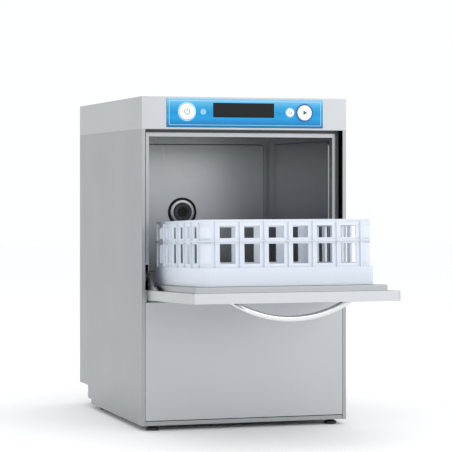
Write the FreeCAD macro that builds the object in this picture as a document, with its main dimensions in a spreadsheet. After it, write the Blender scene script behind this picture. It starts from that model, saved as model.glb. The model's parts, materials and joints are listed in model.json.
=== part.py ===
"""Undercounter front-loading commercial dishwasher for a 350 mm rack, as an assembly of separate pieces.

+X is the machine's right, +Y its back, +Z up, in millimetres. The origin is on the floor, at the middle of
the outline with the door open. Pieces of the cabinet are drawn from the cabinet's front plane, and pieces
that hang on the door, the rack and the rails are drawn from the door's hinge axis, on the open door's slope.
"""

import FreeCAD
import Part
import math
import os
import re
import Sketcher

SIZES = {
    "front_plane_y": -125.0,
    # outer cabinet
    "cabinet_width": 435.0,
    "cabinet_depth": 550.0,
    "cabinet_height": 670.0,
    "body_bottom": 10.5,
    "lid_bottom": 604.5,
    "sheet": 1.2,
    "front_return": 7.5,
    "rear_return": 16.0,
    "recess_front": 440.0,
    "recess_step": 470.0,
    "recess_low": 20.0,
    "recess_high": 48.0,
    "front_panel_width": 419.0,
    "front_panel_bottom": 20.5,
    "front_panel_top": 257.5,
    "front_panel_fold": 14.0,
    # base and feet
    "base_width": 431.0,
    "base_front": 2.0,
    "base_wall": 1.5,
    "base_top": 32.0,
    "foot_side": 190.0,
    "foot_front": 20.0,
    "foot_rear": 412.0,
    "foot_radius": 13.0,
    "foot_pad": 7.5,
    "foot_stem": 5.0,
    "foot_top": 34.0,
    "nut_circle": 9.2,
    "nut_height": 6.4,
    # wash chamber
    "chamber_half": 196.0,
    "chamber_front": 24.0,
    "chamber_back": 430.0,
    "chamber_top": 590.0,
    "ceiling_z": 640.0,
    "chamber_sill": 262.0,
    "frame_half": 209.5,
    "frame_arm_slot": 332.0,
    "frame_slot_half": 206.0,
    "tank_bottom": 132.0,
    "sump_radius": 38.0,
    "filter_level": 190.0,
    "centre_y": 227.0,
    "seal_inner": 203.5,
    "seal_outer": 208.0,
    "seal_top": 603.5,
    "seal_front": 19.9,
    "port_x": -12.0,
    "port_z": 432.0,
    "port_radius": 32.5,
    "port_bore": 9.0,
    # door, drawn open from the hinge axis
    "hinge_y": 6.0,
    "hinge_z": 268.0,
    "door_tilt": 1.75,
    "door_half": 206.0,
    "door_reach": 334.0,
    "door_heel": 8.0,
    "door_inset": 6.0,
    "door_thick": 19.5,
    "liner_half": 192.0,
    "liner_reach": 301.0,
    "liner_heel": 5.0,
    "liner_rise": 11.0,
    "handle_reach": 288.0,
    "handle_half": 126.0,
    "handle_drop": 37.5,
    "handle_bar": 11.5,
    "handle_wide": 18.0,
    "pin_radius": 3.0,
    "pin_clearance": 0.05,
    "arm_side": 199.0,
    "arm_plate": 4.0,
    # rack
    "rack_half": 175.0,
    "rack_front": 284.0,
    "rack_lift": 0.5,
    "rack_high": 126.0,
    "rack_wall": 3.0,
    "rack_skirt": 35.0,
    "rack_rib": 86.0,
    "rack_rim": 116.0,
    "rack_pitch": 48.5,
    "rack_window": 31.0,
    "rack_corner": 20.0,
    "rack_floor_pitch": 26.0,
    "rack_floor_hole": 21.0,
    "rail_start": 172.0,
    "rail_end": 404.0,
    "rail_inner": 166.0,
    # spray arms
    "lower_arm_z": 246.0,
    "upper_arm_z": 612.0,
    "wash_arm_half": 158.0,
    "rinse_arm_half": 150.0,
    "arm_wide": 34.0,
    "arm_high": 11.0,
    "rinse_wide": 15.0,
    "rinse_high": 7.0,
    "spindle_radius": 6.0,
    "spindle_clearance": 0.1,
    "manifold_radius": 16.0,
    # control panel on the lid
    "panel_half": 166.0,
    "panel_low": 608.5,
    "panel_high": 667.0,
    "panel_thick": 2.0,
    "display_left": -69.0,
    "display_right": 60.5,
    "display_low": 629.0,
    "display_high": 658.3,
    "button_z": 640.0,
    "on_off_x": -124.0,
    "on_off_radius": 16.5,
    "start_x": 126.0,
    "start_radius": 15.5,
    "start_ring": 18.5,
    "program_x": 94.6,
    "program_radius": 8.5,
    "lamp_x": -90.0,
    "lamp_radius": 6.0,
    "button_gap": 0.35,
    "button_stem": 4.0,
    "board_y": 16.0,
    # services
    "pump_y": 120.0,
    "pump_z": 82.0,
    "boiler_y": 330.0,
    "boiler_z": 82.0,
    "boiler_radius": 44.0,
    "boiler_half": 130.0,
    "riser_side": 165.0,
    "riser_cross": 262.0,
    "riser_rear": 470.0,
    "spring_x": 209.7,
    "spring_y": 60.0,
    "spring_low": 112.0,
    "spring_high": 238.0,
    "inlet_x": 150.0,
    "inlet_z": 110.0,
    "inlet_radius": 13.2,
    "drain_x": -150.0,
    "drain_z": 104.0,
    "drain_radius": 12.0,
    "drain_reach": 28.0,
    "gland_x": 60.0,
    "gland_z": 110.0,
    "gland_bore": 4.5,
}

doc = FreeCAD.newDocument("undercounter_dishwasher")
dims = doc.addObject("Spreadsheet::Sheet", "dims")
for row, (alias, size) in enumerate(SIZES.items(), start=1):
    dims.set(f"A{row}", alias)
    dims.set(f"B{row}", str(size))
    dims.setAlias(f"B{row}", alias)
doc.recompute()

SUBPARTS = []
CABINET = ("0", "front_plane_y", "0")
DOOR = ("0", "front_plane_y + hinge_y", "hinge_z")


# --- helpers ---------------------------------------------------------------------------------------------


def bound(text):
    """An expression with each size's name written as its cell in the spreadsheet."""
    return re.sub(r"[a-z][a-z_]+", lambda m: "dims." + m[0] if m[0] in SIZES else m[0], str(text))


def value(text):
    """The number that an expression gives now."""
    return float(dims.evalExpression(bound(text)))


def bind(item, **sizes):
    """Ties an object's properties to expressions of the sheet's sizes."""
    for name, text in sizes.items():
        item.setExpression(name, bound(text))
    return item


def place(item, x, y, z):
    """Ties an object's position to expressions."""
    for axis, text in zip("xyz", (x, y, z)):
        item.setExpression("Placement.Base." + axis, bound(text))
    return item


def keep(item, label, origin=CABINET):
    """Names a finished sub-part and stands it on the cabinet's front plane or on the door's hinge axis."""
    item.Label = label
    if origin is DOOR:
        item.Placement.Rotation = FreeCAD.Rotation(FreeCAD.Vector(-1, 0, 0), 1)
        item.setExpression("Placement.Rotation.Angle", bound("door_tilt"))
    place(item, *origin)
    SUBPARTS.append(item)
    return item


def block(name, corner, size):
    """A box from its lowest corner and its three sides."""
    item = doc.addObject("Part::Box", name)
    bind(item, Length=size[0], Width=size[1], Height=size[2])
    return place(item, *corner)


def rod(name, centre, radius, length, along="z"):
    """A cylinder that starts at centre and runs along an axis."""
    item = doc.addObject("Part::Cylinder", name)
    bind(item, Radius=radius, Height=length)
    turns = {"x": (FreeCAD.Vector(0, 1, 0), 90), "y": (FreeCAD.Vector(1, 0, 0), -90)}
    if along in turns:
        item.Placement = FreeCAD.Placement(FreeCAD.Vector(), FreeCAD.Rotation(*turns[along]))
    return place(item, *centre)


def ring(name, centre, outer, inner, length, along="z"):
    """A tube: an outer cylinder with a bore."""
    return cut(name, rod(name + "_outer", centre, outer, length, along),
               rod(name + "_bore", centre, inner, length, along))


def cut(name, base, tool):
    item = doc.addObject("Part::Cut", name)
    item.Base = base
    item.Tool = tool
    return item


def fuse(name, *parts):
    item = doc.addObject("Part::MultiFuse", name)
    item.Shapes = list(parts)
    item.Refine = True
    return item


def group(name, *parts):
    """Separate solids that are one sub-part, such as a set of screws."""
    item = doc.addObject("Part::Compound", name)
    item.Links = list(parts)
    return item


def new_body(name):
    return doc.addObject("PartDesign::Body", name)


def origin_part(body, role):
    return next(f for f in body.Origin.OriginFeatures if f.Role == role)


def sketch_on(body, plane, name, start="0"):
    """A sketch on one of its body's origin planes, moved along that plane's positive axis to start."""
    sketch = body.newObject("Sketcher::SketchObject", name)
    sketch.AttachmentSupport = (origin_part(body, plane + "_Plane"), [""])
    sketch.MapMode = "FlatFace"
    sign = "-" if plane == "XZ" else ""
    sketch.setExpression("AttachmentOffset.Base.z", bound(f"{sign}({start})"))
    return sketch


def pin_point(sketch, geometry, place_on_it, u, v):
    """Fixes a point of a sketch's geometry at expressions for its two coordinates."""
    for kind, text in (("DistanceX", u), ("DistanceY", v)):
        rule = Sketcher.Constraint(kind, -1, 1, geometry, place_on_it, value(text))
        index = sketch.addConstraint(rule)
        sketch.setExpression(f"Constraints[{index}]", bound(text))


def polygon(sketch, points):
    """A closed outline of straight sides through expressions for its corners."""
    first = sketch.GeometryCount
    corners = [FreeCAD.Vector(value(u), value(v), 0) for u, v in points]
    for i, corner in enumerate(corners):
        sketch.addGeometry(Part.LineSegment(corner, corners[(i + 1) % len(corners)]), False)
    for i in range(len(corners)):
        following = first + (i + 1) % len(corners)
        sketch.addConstraint(Sketcher.Constraint("Coincident", first + i, 2, following, 1))
    for i, (u, v) in enumerate(points):
        pin_point(sketch, first + i, 1, u, v)


def rectangle(sketch, u_low, u_high, v_low, v_high):
    polygon(sketch, [(u_low, v_low), (u_high, v_low), (u_high, v_high), (u_low, v_high)])


def rounded_rectangle(sketch, u_low, u_high, v_low, v_high, radius):
    """A rectangle with equal arcs at its corners, all tied tangent."""
    left, right, low, high, r = (value(t) for t in (u_low, u_high, v_low, v_high, radius))
    first = sketch.GeometryCount
    centres = [(right - r, low + r), (right - r, high - r), (left + r, high - r), (left + r, low + r)]
    for i, (u, v) in enumerate(centres):
        start = math.radians(270 + 90 * i)
        disc = Part.Circle(FreeCAD.Vector(u, v, 0), FreeCAD.Vector(0, 0, 1), r)
        sketch.addGeometry(Part.ArcOfCircle(disc, start, start + math.pi / 2), False)
    for i in range(4):
        begin = sketch.Geometry[first + i].EndPoint
        end = sketch.Geometry[first + (i + 1) % 4].StartPoint
        sketch.addGeometry(Part.LineSegment(begin, end), False)
    for i in range(4):
        side = first + 4 + i
        sketch.addConstraint(Sketcher.Constraint("Tangent", first + i, 2, side, 1))
        sketch.addConstraint(Sketcher.Constraint("Tangent", side, 2, first + (i + 1) % 4, 1))
        sketch.addConstraint(Sketcher.Constraint("Horizontal" if i % 2 else "Vertical", side))
        if i:
            sketch.addConstraint(Sketcher.Constraint("Equal", first, first + i))
    index = sketch.addConstraint(Sketcher.Constraint("Radius", first, r))
    sketch.setExpression(f"Constraints[{index}]", bound(radius))
    sides = (("DistanceX", u_high), ("DistanceY", v_high), ("DistanceX", u_low), ("DistanceY", v_low))
    for i, (kind, text) in enumerate(sides):
        index = sketch.addConstraint(Sketcher.Constraint(kind, -1, 1, first + 4 + i, 1, value(text)))
        sketch.setExpression(f"Constraints[{index}]", bound(text))


def circle(sketch, u, v, radius):
    centre = FreeCAD.Vector(value(u), value(v), 0)
    geometry = sketch.addGeometry(Part.Circle(centre, FreeCAD.Vector(0, 0, 1), value(radius)), False)
    pin_point(sketch, geometry, 3, u, v)
    index = sketch.addConstraint(Sketcher.Constraint("Radius", geometry, value(radius)))
    sketch.setExpression(f"Constraints[{index}]", bound(radius))


def pad(body, sketch, length):
    """Adds the sketch's outline, run along its plane's positive axis."""
    feature = body.newObject("PartDesign::Pad", sketch.Name + "_pad")
    feature.Profile = sketch
    feature.Reversed = sketch.AttachmentSupport[0][0].Role == "XZ_Plane"
    bind(feature, Length=length)
    sketch.Visibility = False
    return feature


def pocket(body, sketch, length):
    """Cuts the sketch's outline, run along its plane's positive axis."""
    feature = body.newObject("PartDesign::Pocket", sketch.Name + "_pocket")
    feature.Profile = sketch
    feature.Reversed = sketch.AttachmentSupport[0][0].Role != "XZ_Plane"
    bind(feature, Length=length)
    sketch.Visibility = False
    return feature


def row_of(body, feature, axis, span, count):
    """Repeats a feature along one of its body's axes, over a span."""
    pattern = body.newObject("PartDesign::LinearPattern", feature.Name + "_row")
    pattern.Originals = [feature]
    pattern.Direction = (origin_part(body, axis + "_Axis"), [""])
    bind(pattern, Length=span)
    pattern.Occurrences = count
    body.Tip = pattern
    return pattern


def edges_along(shape, direction, test):
    """Names of the straight edges that run along a direction and whose middle passes the test."""
    names = []
    for i, edge in enumerate(shape.Edges, start=1):
        if not isinstance(edge.Curve, Part.Line):
            continue
        if abs(abs(edge.tangentAt(edge.FirstParameter).dot(direction)) - 1) > 1e-6:
            continue
        if test(edge.CenterOfMass):
            names.append(f"Edge{i}")
    return names


def fillet(body, direction, radius, test):
    """Rounds the edges of the body so far that run along a direction."""
    doc.recompute()
    base = body.Tip
    feature = body.newObject("PartDesign::Fillet", base.Name + "_fillet")
    feature.Base = (base, edges_along(base.Shape, FreeCAD.Vector(*direction), test))
    bind(feature, Radius=radius)
    return feature


# --- outer cabinet ---------------------------------------------------------------------------------------


def side_panel(label, side):
    """A folded side skin: a channel in plan, with the machine's rear-bottom recess cut away."""
    outer = f"{side} * cabinet_width / 2"
    inner = f"{side} * (cabinet_width / 2 - sheet)"
    lip = f"{side} * (cabinet_width / 2 - front_return)"
    tail = f"{side} * (cabinet_width / 2 - rear_return)"
    body = new_body(label)
    plan = sketch_on(body, "XY", label + "_plan", "body_bottom")
    polygon(plan, [
        (outer, "0"), (outer, "cabinet_depth"), (tail, "cabinet_depth"), (tail, "cabinet_depth - sheet"),
        (inner, "cabinet_depth - sheet"), (inner, "sheet"), (lip, "sheet"), (lip, "0"),
    ])
    pad(body, plan, "lid_bottom - body_bottom")
    recess = sketch_on(body, "YZ", label + "_recess", "-cabinet_width")
    polygon(recess, [
        ("recess_front", "0"), ("cabinet_depth + 1", "0"), ("cabinet_depth + 1", "recess_high"),
        ("recess_step", "recess_high"), ("recess_step", "recess_low"), ("recess_front", "recess_low"),
    ])
    pocket(body, recess, "2 * cabinet_width")
    keep(body, label)


def lid():
    """The top hood: a downturned pan, with a window in its front for the switches."""
    body = new_body("lid")
    outline = sketch_on(body, "XY", "lid_outline", "lid_bottom")
    rectangle(outline, "-cabinet_width / 2", "cabinet_width / 2", "0", "cabinet_depth")
    pad(body, outline, "cabinet_height - lid_bottom")
    hollow = sketch_on(body, "XY", "lid_hollow", "lid_bottom")
    rectangle(hollow, "-(cabinet_width / 2 - sheet)", "cabinet_width / 2 - sheet", "sheet",
              "cabinet_depth - sheet")
    pocket(body, hollow, "cabinet_height - lid_bottom - sheet")
    window = sketch_on(body, "XZ", "lid_window", "-1")
    rectangle(window, "-(panel_half - 12)", "panel_half - 12", "panel_low + 9", "panel_high - 8")
    pocket(body, window, "sheet + 2")
    keep(body, "lid")


def rear_panel():
    """The back cover, between the side skins' rear folds, bored for the services."""
    body = new_body("rear_panel")
    outline = sketch_on(body, "XZ", "rear_outline", "cabinet_depth - 2 * sheet")
    half = "(cabinet_width / 2 - sheet - 0.3)"
    rectangle(outline, f"-{half}", half, "recess_high + 0.5", "lid_bottom - 0.3")
    pad(body, outline, "sheet")
    holes = sketch_on(body, "XZ", "rear_holes", "cabinet_depth - 2 * sheet - 1")
    circle(holes, "inlet_x", "inlet_z", "inlet_radius - 0.9")
    circle(holes, "drain_x", "drain_z", "drain_radius - 0.7")
    circle(holes, "gland_x", "gland_z", "8")
    pocket(body, holes, "sheet + 2")
    louvre = sketch_on(body, "XZ", "rear_louvre", "cabinet_depth - 2 * sheet - 1")
    rectangle(louvre, "-90", "90", "440", "444")
    slot = pocket(body, louvre, "sheet + 2")
    row_of(body, slot, "Z", "84", 8)
    keep(body, "rear_panel")


def rear_screws():
    """Pan-head screws that hold the back cover on the side skins' rear folds."""
    heads = []
    for i in range(8):
        side = "-" if i < 4 else ""
        x = f"{side}(cabinet_width / 2 - rear_return / 2 - sheet)"
        z = f"{110 + 150 * (i % 4)}"
        head = rod(f"screw_head_{i}", (x, "cabinet_depth", z), "3.4", "2.2", "y")
        heads.append(head)
    keep(group("rear_screws", *heads), "rear_screws")


def base_pan():
    """The folded base tray, whose front wall shows as the plinth."""
    body = new_body("base_pan")
    outline = sketch_on(body, "XY", "base_outline", "body_bottom")
    rectangle(outline, "-base_width / 2", "base_width / 2", "base_front", "recess_front - 1")
    pad(body, outline, "base_top - body_bottom")
    hollow = sketch_on(body, "XY", "base_hollow", "body_bottom + base_wall")
    rectangle(hollow, "-(base_width / 2 - base_wall)", "base_width / 2 - base_wall",
              "base_front + base_wall", "recess_front - 1 - base_wall")
    pocket(body, hollow, "base_top")
    window = sketch_on(body, "XZ", "base_notch", "base_front - 1")
    rectangle(window, "-base_width", "base_width", "front_panel_bottom - 1.5", "base_top + 1")
    pocket(body, window, "base_wall + 16")
    holes = sketch_on(body, "XY", "base_holes", "body_bottom - 1")
    for side in ("-", ""):
        for y in ("foot_front", "foot_rear"):
            circle(holes, f"{side}foot_side", y, "foot_stem")
    pocket(body, holes, "base_wall + 2")
    keep(body, "base_pan")


def rear_floor():
    """The raised floor of the rear recess, which carries the valves."""
    body = new_body("rear_floor")
    side = sketch_on(body, "YZ", "rear_floor_side", "-base_width / 2")
    polygon(side, [
        ("recess_front - 1", "base_top"), ("recess_front - 1", "recess_high + 1.5"),
        ("cabinet_depth - 4", "recess_high + 1.5"), ("cabinet_depth - 4", "recess_high"),
        ("recess_front + 0.5", "recess_high"), ("recess_front + 0.5", "base_top"),
    ])
    pad(body, side, "base_width")
    keep(body, "rear_floor")


def feet():
    """Four adjustable feet, each a turned pad on a stem, with a nut above the base tray."""
    pads = []
    nuts = []
    for y_name, y in (("front", "foot_front"), ("rear", "foot_rear")):
        for x_name, x in (("left", "-foot_side"), ("right", "foot_side")):
            label = f"foot_{y_name}_{x_name}"
            body = new_body(label)
            side = sketch_on(body, "XZ", label + "_side")
            polygon(side, [
                ("0", "0"), ("foot_radius - 1.5", "0"), ("foot_radius", "1.5"), ("foot_radius", "5"),
                ("foot_radius - 4", "foot_pad"), ("foot_stem", "foot_pad + 1"), ("foot_stem", "foot_top"),
                ("0", "foot_top"),
            ])
            turn = body.newObject("PartDesign::Revolution", label + "_turn")
            turn.Profile = side
            turn.ReferenceAxis = (side, ["V_Axis"])
            turn.Angle = 360
            pads.append(place(body, x, y, "0"))
            prism = doc.addObject("Part::Prism", label + "_hex")
            prism.Polygon = 6
            bind(prism, Circumradius="nut_circle", Height="nut_height")
            place(prism, x, y, "body_bottom + base_wall")
            bore = rod(label + "_nut_bore", (x, y, "body_bottom + base_wall"), "foot_stem", "nut_height")
            nuts.append(cut(label + "_nut", prism, bore))
    keep(group("levelling_feet", *pads), "levelling_feet")
    keep(group("foot_nuts", *nuts), "foot_nuts")


def front_panel():
    """The lower access panel: a plate with its four edges folded back."""
    half = "front_panel_width / 2"
    body = new_body("front_panel")
    outline = sketch_on(body, "XZ", "front_outline", "0")
    rectangle(outline, f"-{half}", half, "front_panel_bottom", "front_panel_top")
    pad(body, outline, "front_panel_fold")
    hollow = sketch_on(body, "XZ", "front_hollow", "sheet")
    rectangle(hollow, f"-({half} - sheet)", f"{half} - sheet", "front_panel_bottom + sheet",
              "front_panel_top - sheet")
    pocket(body, hollow, "front_panel_fold")
    keep(body, "front_panel")


# --- wash chamber ----------------------------------------------------------------------------------------


def front_frame():
    """The portal round the door opening, slotted low down at each side for the hinge arms."""
    body = new_body("front_frame")
    face = sketch_on(body, "XZ", "frame_face", "chamber_front")
    right = [
        ("frame_half", "ceiling_z"), ("frame_half", "chamber_sill"), ("frame_slot_half", "chamber_sill"),
        ("frame_slot_half", "frame_arm_slot"), ("chamber_half", "frame_arm_slot"),
        ("chamber_half", "chamber_top"),
    ]
    left = [("-" + x, z) for x, z in reversed(right)]
    polygon(face, right + left)
    pad(body, face, "sheet")
    keep(body, "front_frame")


def chamber_walls():
    """The stainless walls of the wash chamber, each a flat sheet welded at its edges."""
    height = "ceiling_z - chamber_sill"
    depth = "chamber_back - chamber_front - sheet"
    start = "chamber_front + sheet"
    sides = [
        block(name, (x, start, "chamber_sill"), ("sheet", depth, height))
        for name, x in (("wall_left", "-(chamber_half + sheet)"), ("wall_right", "chamber_half"))
    ]
    keep(group("chamber_side_walls", *sides), "chamber_side_walls")
    body = new_body("chamber_rear_wall")
    face = sketch_on(body, "XZ", "rear_wall_face", "chamber_back")
    rectangle(face, "-(chamber_half + sheet)", "chamber_half + sheet", "chamber_sill", "ceiling_z")
    circle(face, "port_x", "port_z", "port_bore + 6")
    pad(body, face, "sheet")
    keep(body, "chamber_rear_wall")
    body = new_body("chamber_ceiling")
    side = sketch_on(body, "XY", "ceiling_plan", "ceiling_z")
    rectangle(side, "-(chamber_half + sheet)", "chamber_half + sheet", start, "chamber_back + sheet")
    circle(side, "0", "centre_y", "8.2")
    pad(body, side, "sheet")
    keep(body, "chamber_ceiling")


def wash_tank():
    """The open tank below the chamber, with a drain hole in its floor."""
    body = new_body("wash_tank")
    outline = sketch_on(body, "XY", "tank_outline", "tank_bottom")
    rectangle(outline, "-(chamber_half + sheet)", "chamber_half + sheet", "chamber_front + sheet",
              "chamber_back + sheet")
    pad(body, outline, "chamber_sill - tank_bottom")
    hollow = sketch_on(body, "XY", "tank_hollow", "tank_bottom + sheet")
    rectangle(hollow, "-chamber_half", "chamber_half", "chamber_front + 2 * sheet", "chamber_back")
    pocket(body, hollow, "chamber_sill")
    drain = sketch_on(body, "XY", "tank_drain", "tank_bottom - 1")
    circle(drain, "-100", "centre_y", "12.3")
    circle(drain, "-100", "pump_y", "12")
    circle(drain, "0", "centre_y", "12")
    pocket(body, drain, "sheet + 2")
    ledge = sketch_on(body, "XY", "filter_ledges", "filter_level - 1.5")
    for inner, outer in (("-(chamber_half - 8)", "-chamber_half"), ("chamber_half - 8", "chamber_half")):
        rectangle(ledge, *sorted((inner, outer), key=value), "chamber_front + 8", "chamber_back - 4")
    pad(body, ledge, "1.5")
    leads = sketch_on(body, "XZ", "tank_lead_holes", "chamber_back - 1")
    circle(leads, "-30", "tank_bottom + 21.5", "3.6")
    circle(leads, "30", "tank_bottom + 21.5", "3.6")
    pocket(body, leads, "sheet + 2")
    keep(body, "wash_tank")


def filters():
    """The slotted surface filter that covers the tank, and the strainer cup that lifts out of it."""
    body = new_body("tank_filter")
    plate = sketch_on(body, "XY", "filter_plate", "filter_level")
    rectangle(plate, "-(chamber_half - 2)", "chamber_half - 2", "chamber_front + 6", "chamber_back - 3")
    circle(plate, "-100", "centre_y", "sump_radius + 0.5")
    circle(plate, "0", "centre_y", "manifold_radius + 1")
    pad(body, plate, "1.5")
    for name, low, high in (("front", "45", "165"), ("rear", "290", "412")):
        slot = sketch_on(body, "XY", f"filter_slot_{name}", "filter_level - 1")
        rectangle(slot, "-178", "-174", low, high)
        row_of(body, pocket(body, slot, "4"), "X", "352", 45)
    keep(body, "tank_filter")
    cup = fuse(
        "strainer_cup",
        ring("strainer_wall", ("-100", "centre_y", "tank_bottom + sheet + 2"), "sump_radius",
             "sump_radius - 1.5", "filter_level - tank_bottom - sheet"),
        ring("strainer_lip", ("-100", "centre_y", "filter_level + 1.8"), "sump_radius + 5",
             "sump_radius - 1.5", "1.5"),
    )
    keep(cup, "sump_strainer")
    pipe = ring("standpipe_tube", ("-100", "centre_y", "tank_bottom"), "12", "9.5", "94")
    knob = ring("standpipe_knob", ("-100", "centre_y", "tank_bottom + 90"), "15", "9.5", "5")
    keep(fuse("overflow_pipe", pipe, knob), "overflow_pipe")


def seals_and_port():
    """The door seal on the frame, and the flanged vent port in the rear wall."""
    body = new_body("door_seal")
    face = sketch_on(body, "XZ", "seal_face", "seal_front")
    right = [("seal_outer", "seal_top"), ("seal_outer", "frame_arm_slot + 4"),
             ("seal_inner", "frame_arm_slot + 4"), ("seal_inner", "seal_top - 5")]
    polygon(face, right + [("-" + x, z) for x, z in reversed(right)])
    pad(body, face, "chamber_front - seal_front")
    keep(body, "door_seal")
    centre = ("port_x", "chamber_back - 4", "port_z")
    keep(ring("port_gasket", centre, "port_radius", "port_radius - 4.5", "4", "y"), "port_gasket",
         CABINET)
    flange = fuse(
        "port_flange",
        ring("port_plate", ("port_x", "chamber_back - 3", "port_z"), "port_radius - 4.5", "port_bore + 3",
             "3", "y"),
        ring("port_collar", ("port_x", "chamber_back - 9", "port_z"), "port_bore + 6", "port_bore",
             "6.5", "y"),
        rod("port_plug", ("port_x", "chamber_back - 3", "port_z"), "port_bore + 6", "34", "y"),
    )
    keep(flange, "port_flange")


def rails():
    """Angle rails on the chamber walls, on the same slope as the open door, where the rack runs in."""
    top = "door_thick - door_inset + liner_rise - 0.2"
    angles = []
    for label, side in (("rail_left", "-1"), ("rail_right", "1")):
        body = new_body(label)
        end = sketch_on(body, "XZ", label + "_end", "rail_start")
        polygon(end, [
            (f"{side} * rail_inner", top), (f"{side} * (chamber_half - 0.2)", top),
            (f"{side} * (chamber_half - 0.2)", f"{top} - 14"),
            (f"{side} * (chamber_half - 1.7)", f"{top} - 14"),
            (f"{side} * (chamber_half - 1.7)", f"{top} - 1.5"), (f"{side} * rail_inner", f"{top} - 1.5"),
        ])
        pad(body, end, "rail_end - rail_start")
        angles.append(body)
    keep(group("rack_rails", *angles), "rack_rails", DOOR)


# --- spray system ----------------------------------------------------------------------------------------


def spray_arm(label, z, half, wide, high, jets, up):
    """A hollow-looking blade with rounded ends, bored for its spindle, with a row of jets."""
    body = new_body(label)
    plan = sketch_on(body, "XY", label + "_plan", z)
    rectangle(plan, f"-{half}", half, f"centre_y - {wide} / 2", f"centre_y + {wide} / 2")
    circle(plan, "0", "centre_y", "spindle_radius + spindle_clearance")
    pad(body, plan, high)
    hub = sketch_on(body, "XY", label + "_hub", z)
    circle(hub, "0", "centre_y", f"{wide} / 2 + 3")
    circle(hub, "0", "centre_y", "spindle_radius + spindle_clearance")
    pad(body, hub, high)
    jet = sketch_on(body, "XY", label + "_jet", f"{z} + {high} - 3" if up else f"{z} - 1")
    circle(jet, f"-{half} + 12", "centre_y + 2", "2")
    cut_jet = pocket(body, jet, "4")
    row_of(body, cut_jet, "X", f"{half} - 36", jets)
    fillet(body, (0, 0, 1), f"{wide} / 2 - 0.5",
           lambda p, reach=value(half): abs(abs(p.x) - reach) < 0.1)
    return keep(body, label)


def spray_system():
    """Lower and upper wash arms with their rinse arms, on fixed manifolds."""
    lower = fuse(
        "lower_manifold_solid",
        rod("lower_post", ("0", "centre_y", "tank_bottom - 8"), "11.5", "lower_arm_z - tank_bottom + 7"),
        rod("lower_collar", ("0", "centre_y", "tank_bottom + sheet"), "manifold_radius",
            "lower_arm_z - tank_bottom - sheet - 1"),
        rod("lower_spindle", ("0", "centre_y", "lower_arm_z - 2"), "spindle_radius", "26"),
        rod("lower_cap", ("0", "centre_y", "lower_arm_z + 22.2"), "9", "3"),
    )
    keep(lower, "lower_manifold")
    upper = fuse(
        "upper_manifold_solid",
        rod("upper_post", ("0", "centre_y", "upper_arm_z + arm_high + 1"), "manifold_radius",
            "ceiling_z - upper_arm_z - arm_high - 1"),
        rod("upper_neck", ("0", "centre_y", "ceiling_z - 1"), "8", "sheet + 1.2"),
        rod("upper_spindle", ("0", "centre_y", "upper_arm_z - 11"), "spindle_radius", "26"),
        rod("upper_cap", ("0", "centre_y", "upper_arm_z - 14"), "9", "3"),
    )
    keep(upper, "upper_manifold")
    spray_arm("lower_wash_arm", "lower_arm_z", "wash_arm_half", "arm_wide", "arm_high", 5, True)
    spray_arm("lower_rinse_arm", "(lower_arm_z + arm_high + 2)", "rinse_arm_half", "rinse_wide",
              "rinse_high", 6, True)
    spray_arm("upper_wash_arm", "upper_arm_z", "wash_arm_half", "arm_wide", "arm_high", 5, False)
    spray_arm("upper_rinse_arm", "(upper_arm_z - rinse_high - 2)", "rinse_arm_half", "rinse_wide",
              "rinse_high", 6, False)
    top = "ceiling_z + 14"
    corners = [
        ("0", "riser_cross", "pump_z"), ("riser_side", "riser_cross", "pump_z"),
        ("riser_side", "riser_rear", "pump_z"), ("riser_side", "riser_rear", top),
        ("0", "riser_rear", top), ("0", "centre_y", top),
    ]
    elbows = []
    for i, corner in enumerate(corners):
        elbow = bind(doc.addObject("Part::Sphere", f"riser_elbow_{i}"), Radius="10.5")
        elbows.append(place(elbow, *corner))
    riser = fuse(
        "riser_pipe",
        rod("riser_foot", ("0", "pump_y + 48", "pump_z"), "9", "riser_cross - pump_y - 48", "y"),
        rod("riser_tee", ("0", "centre_y", "pump_z"), "10", "tank_bottom - 8.2 - pump_z"),
        rod("riser_across", ("0", "riser_cross", "pump_z"), "9", "riser_side", "x"),
        rod("riser_back", ("riser_side", "riser_cross", "pump_z"), "9", "riser_rear - riser_cross", "y"),
        rod("riser_up", ("riser_side", "riser_rear", "pump_z"), "9", f"{top} - pump_z"),
        rod("riser_return", ("0", "riser_rear", top), "9", "riser_side", "x"),
        rod("riser_over", ("0", "centre_y", top), "9", "riser_rear - centre_y", "y"),
        rod("riser_drop", ("0", "centre_y", "ceiling_z + sheet + 0.2"), "9", "12"),
        *elbows,
    )
    keep(riser, "riser_pipe")


# --- services under and behind the tank ------------------------------------------------------------------


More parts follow.
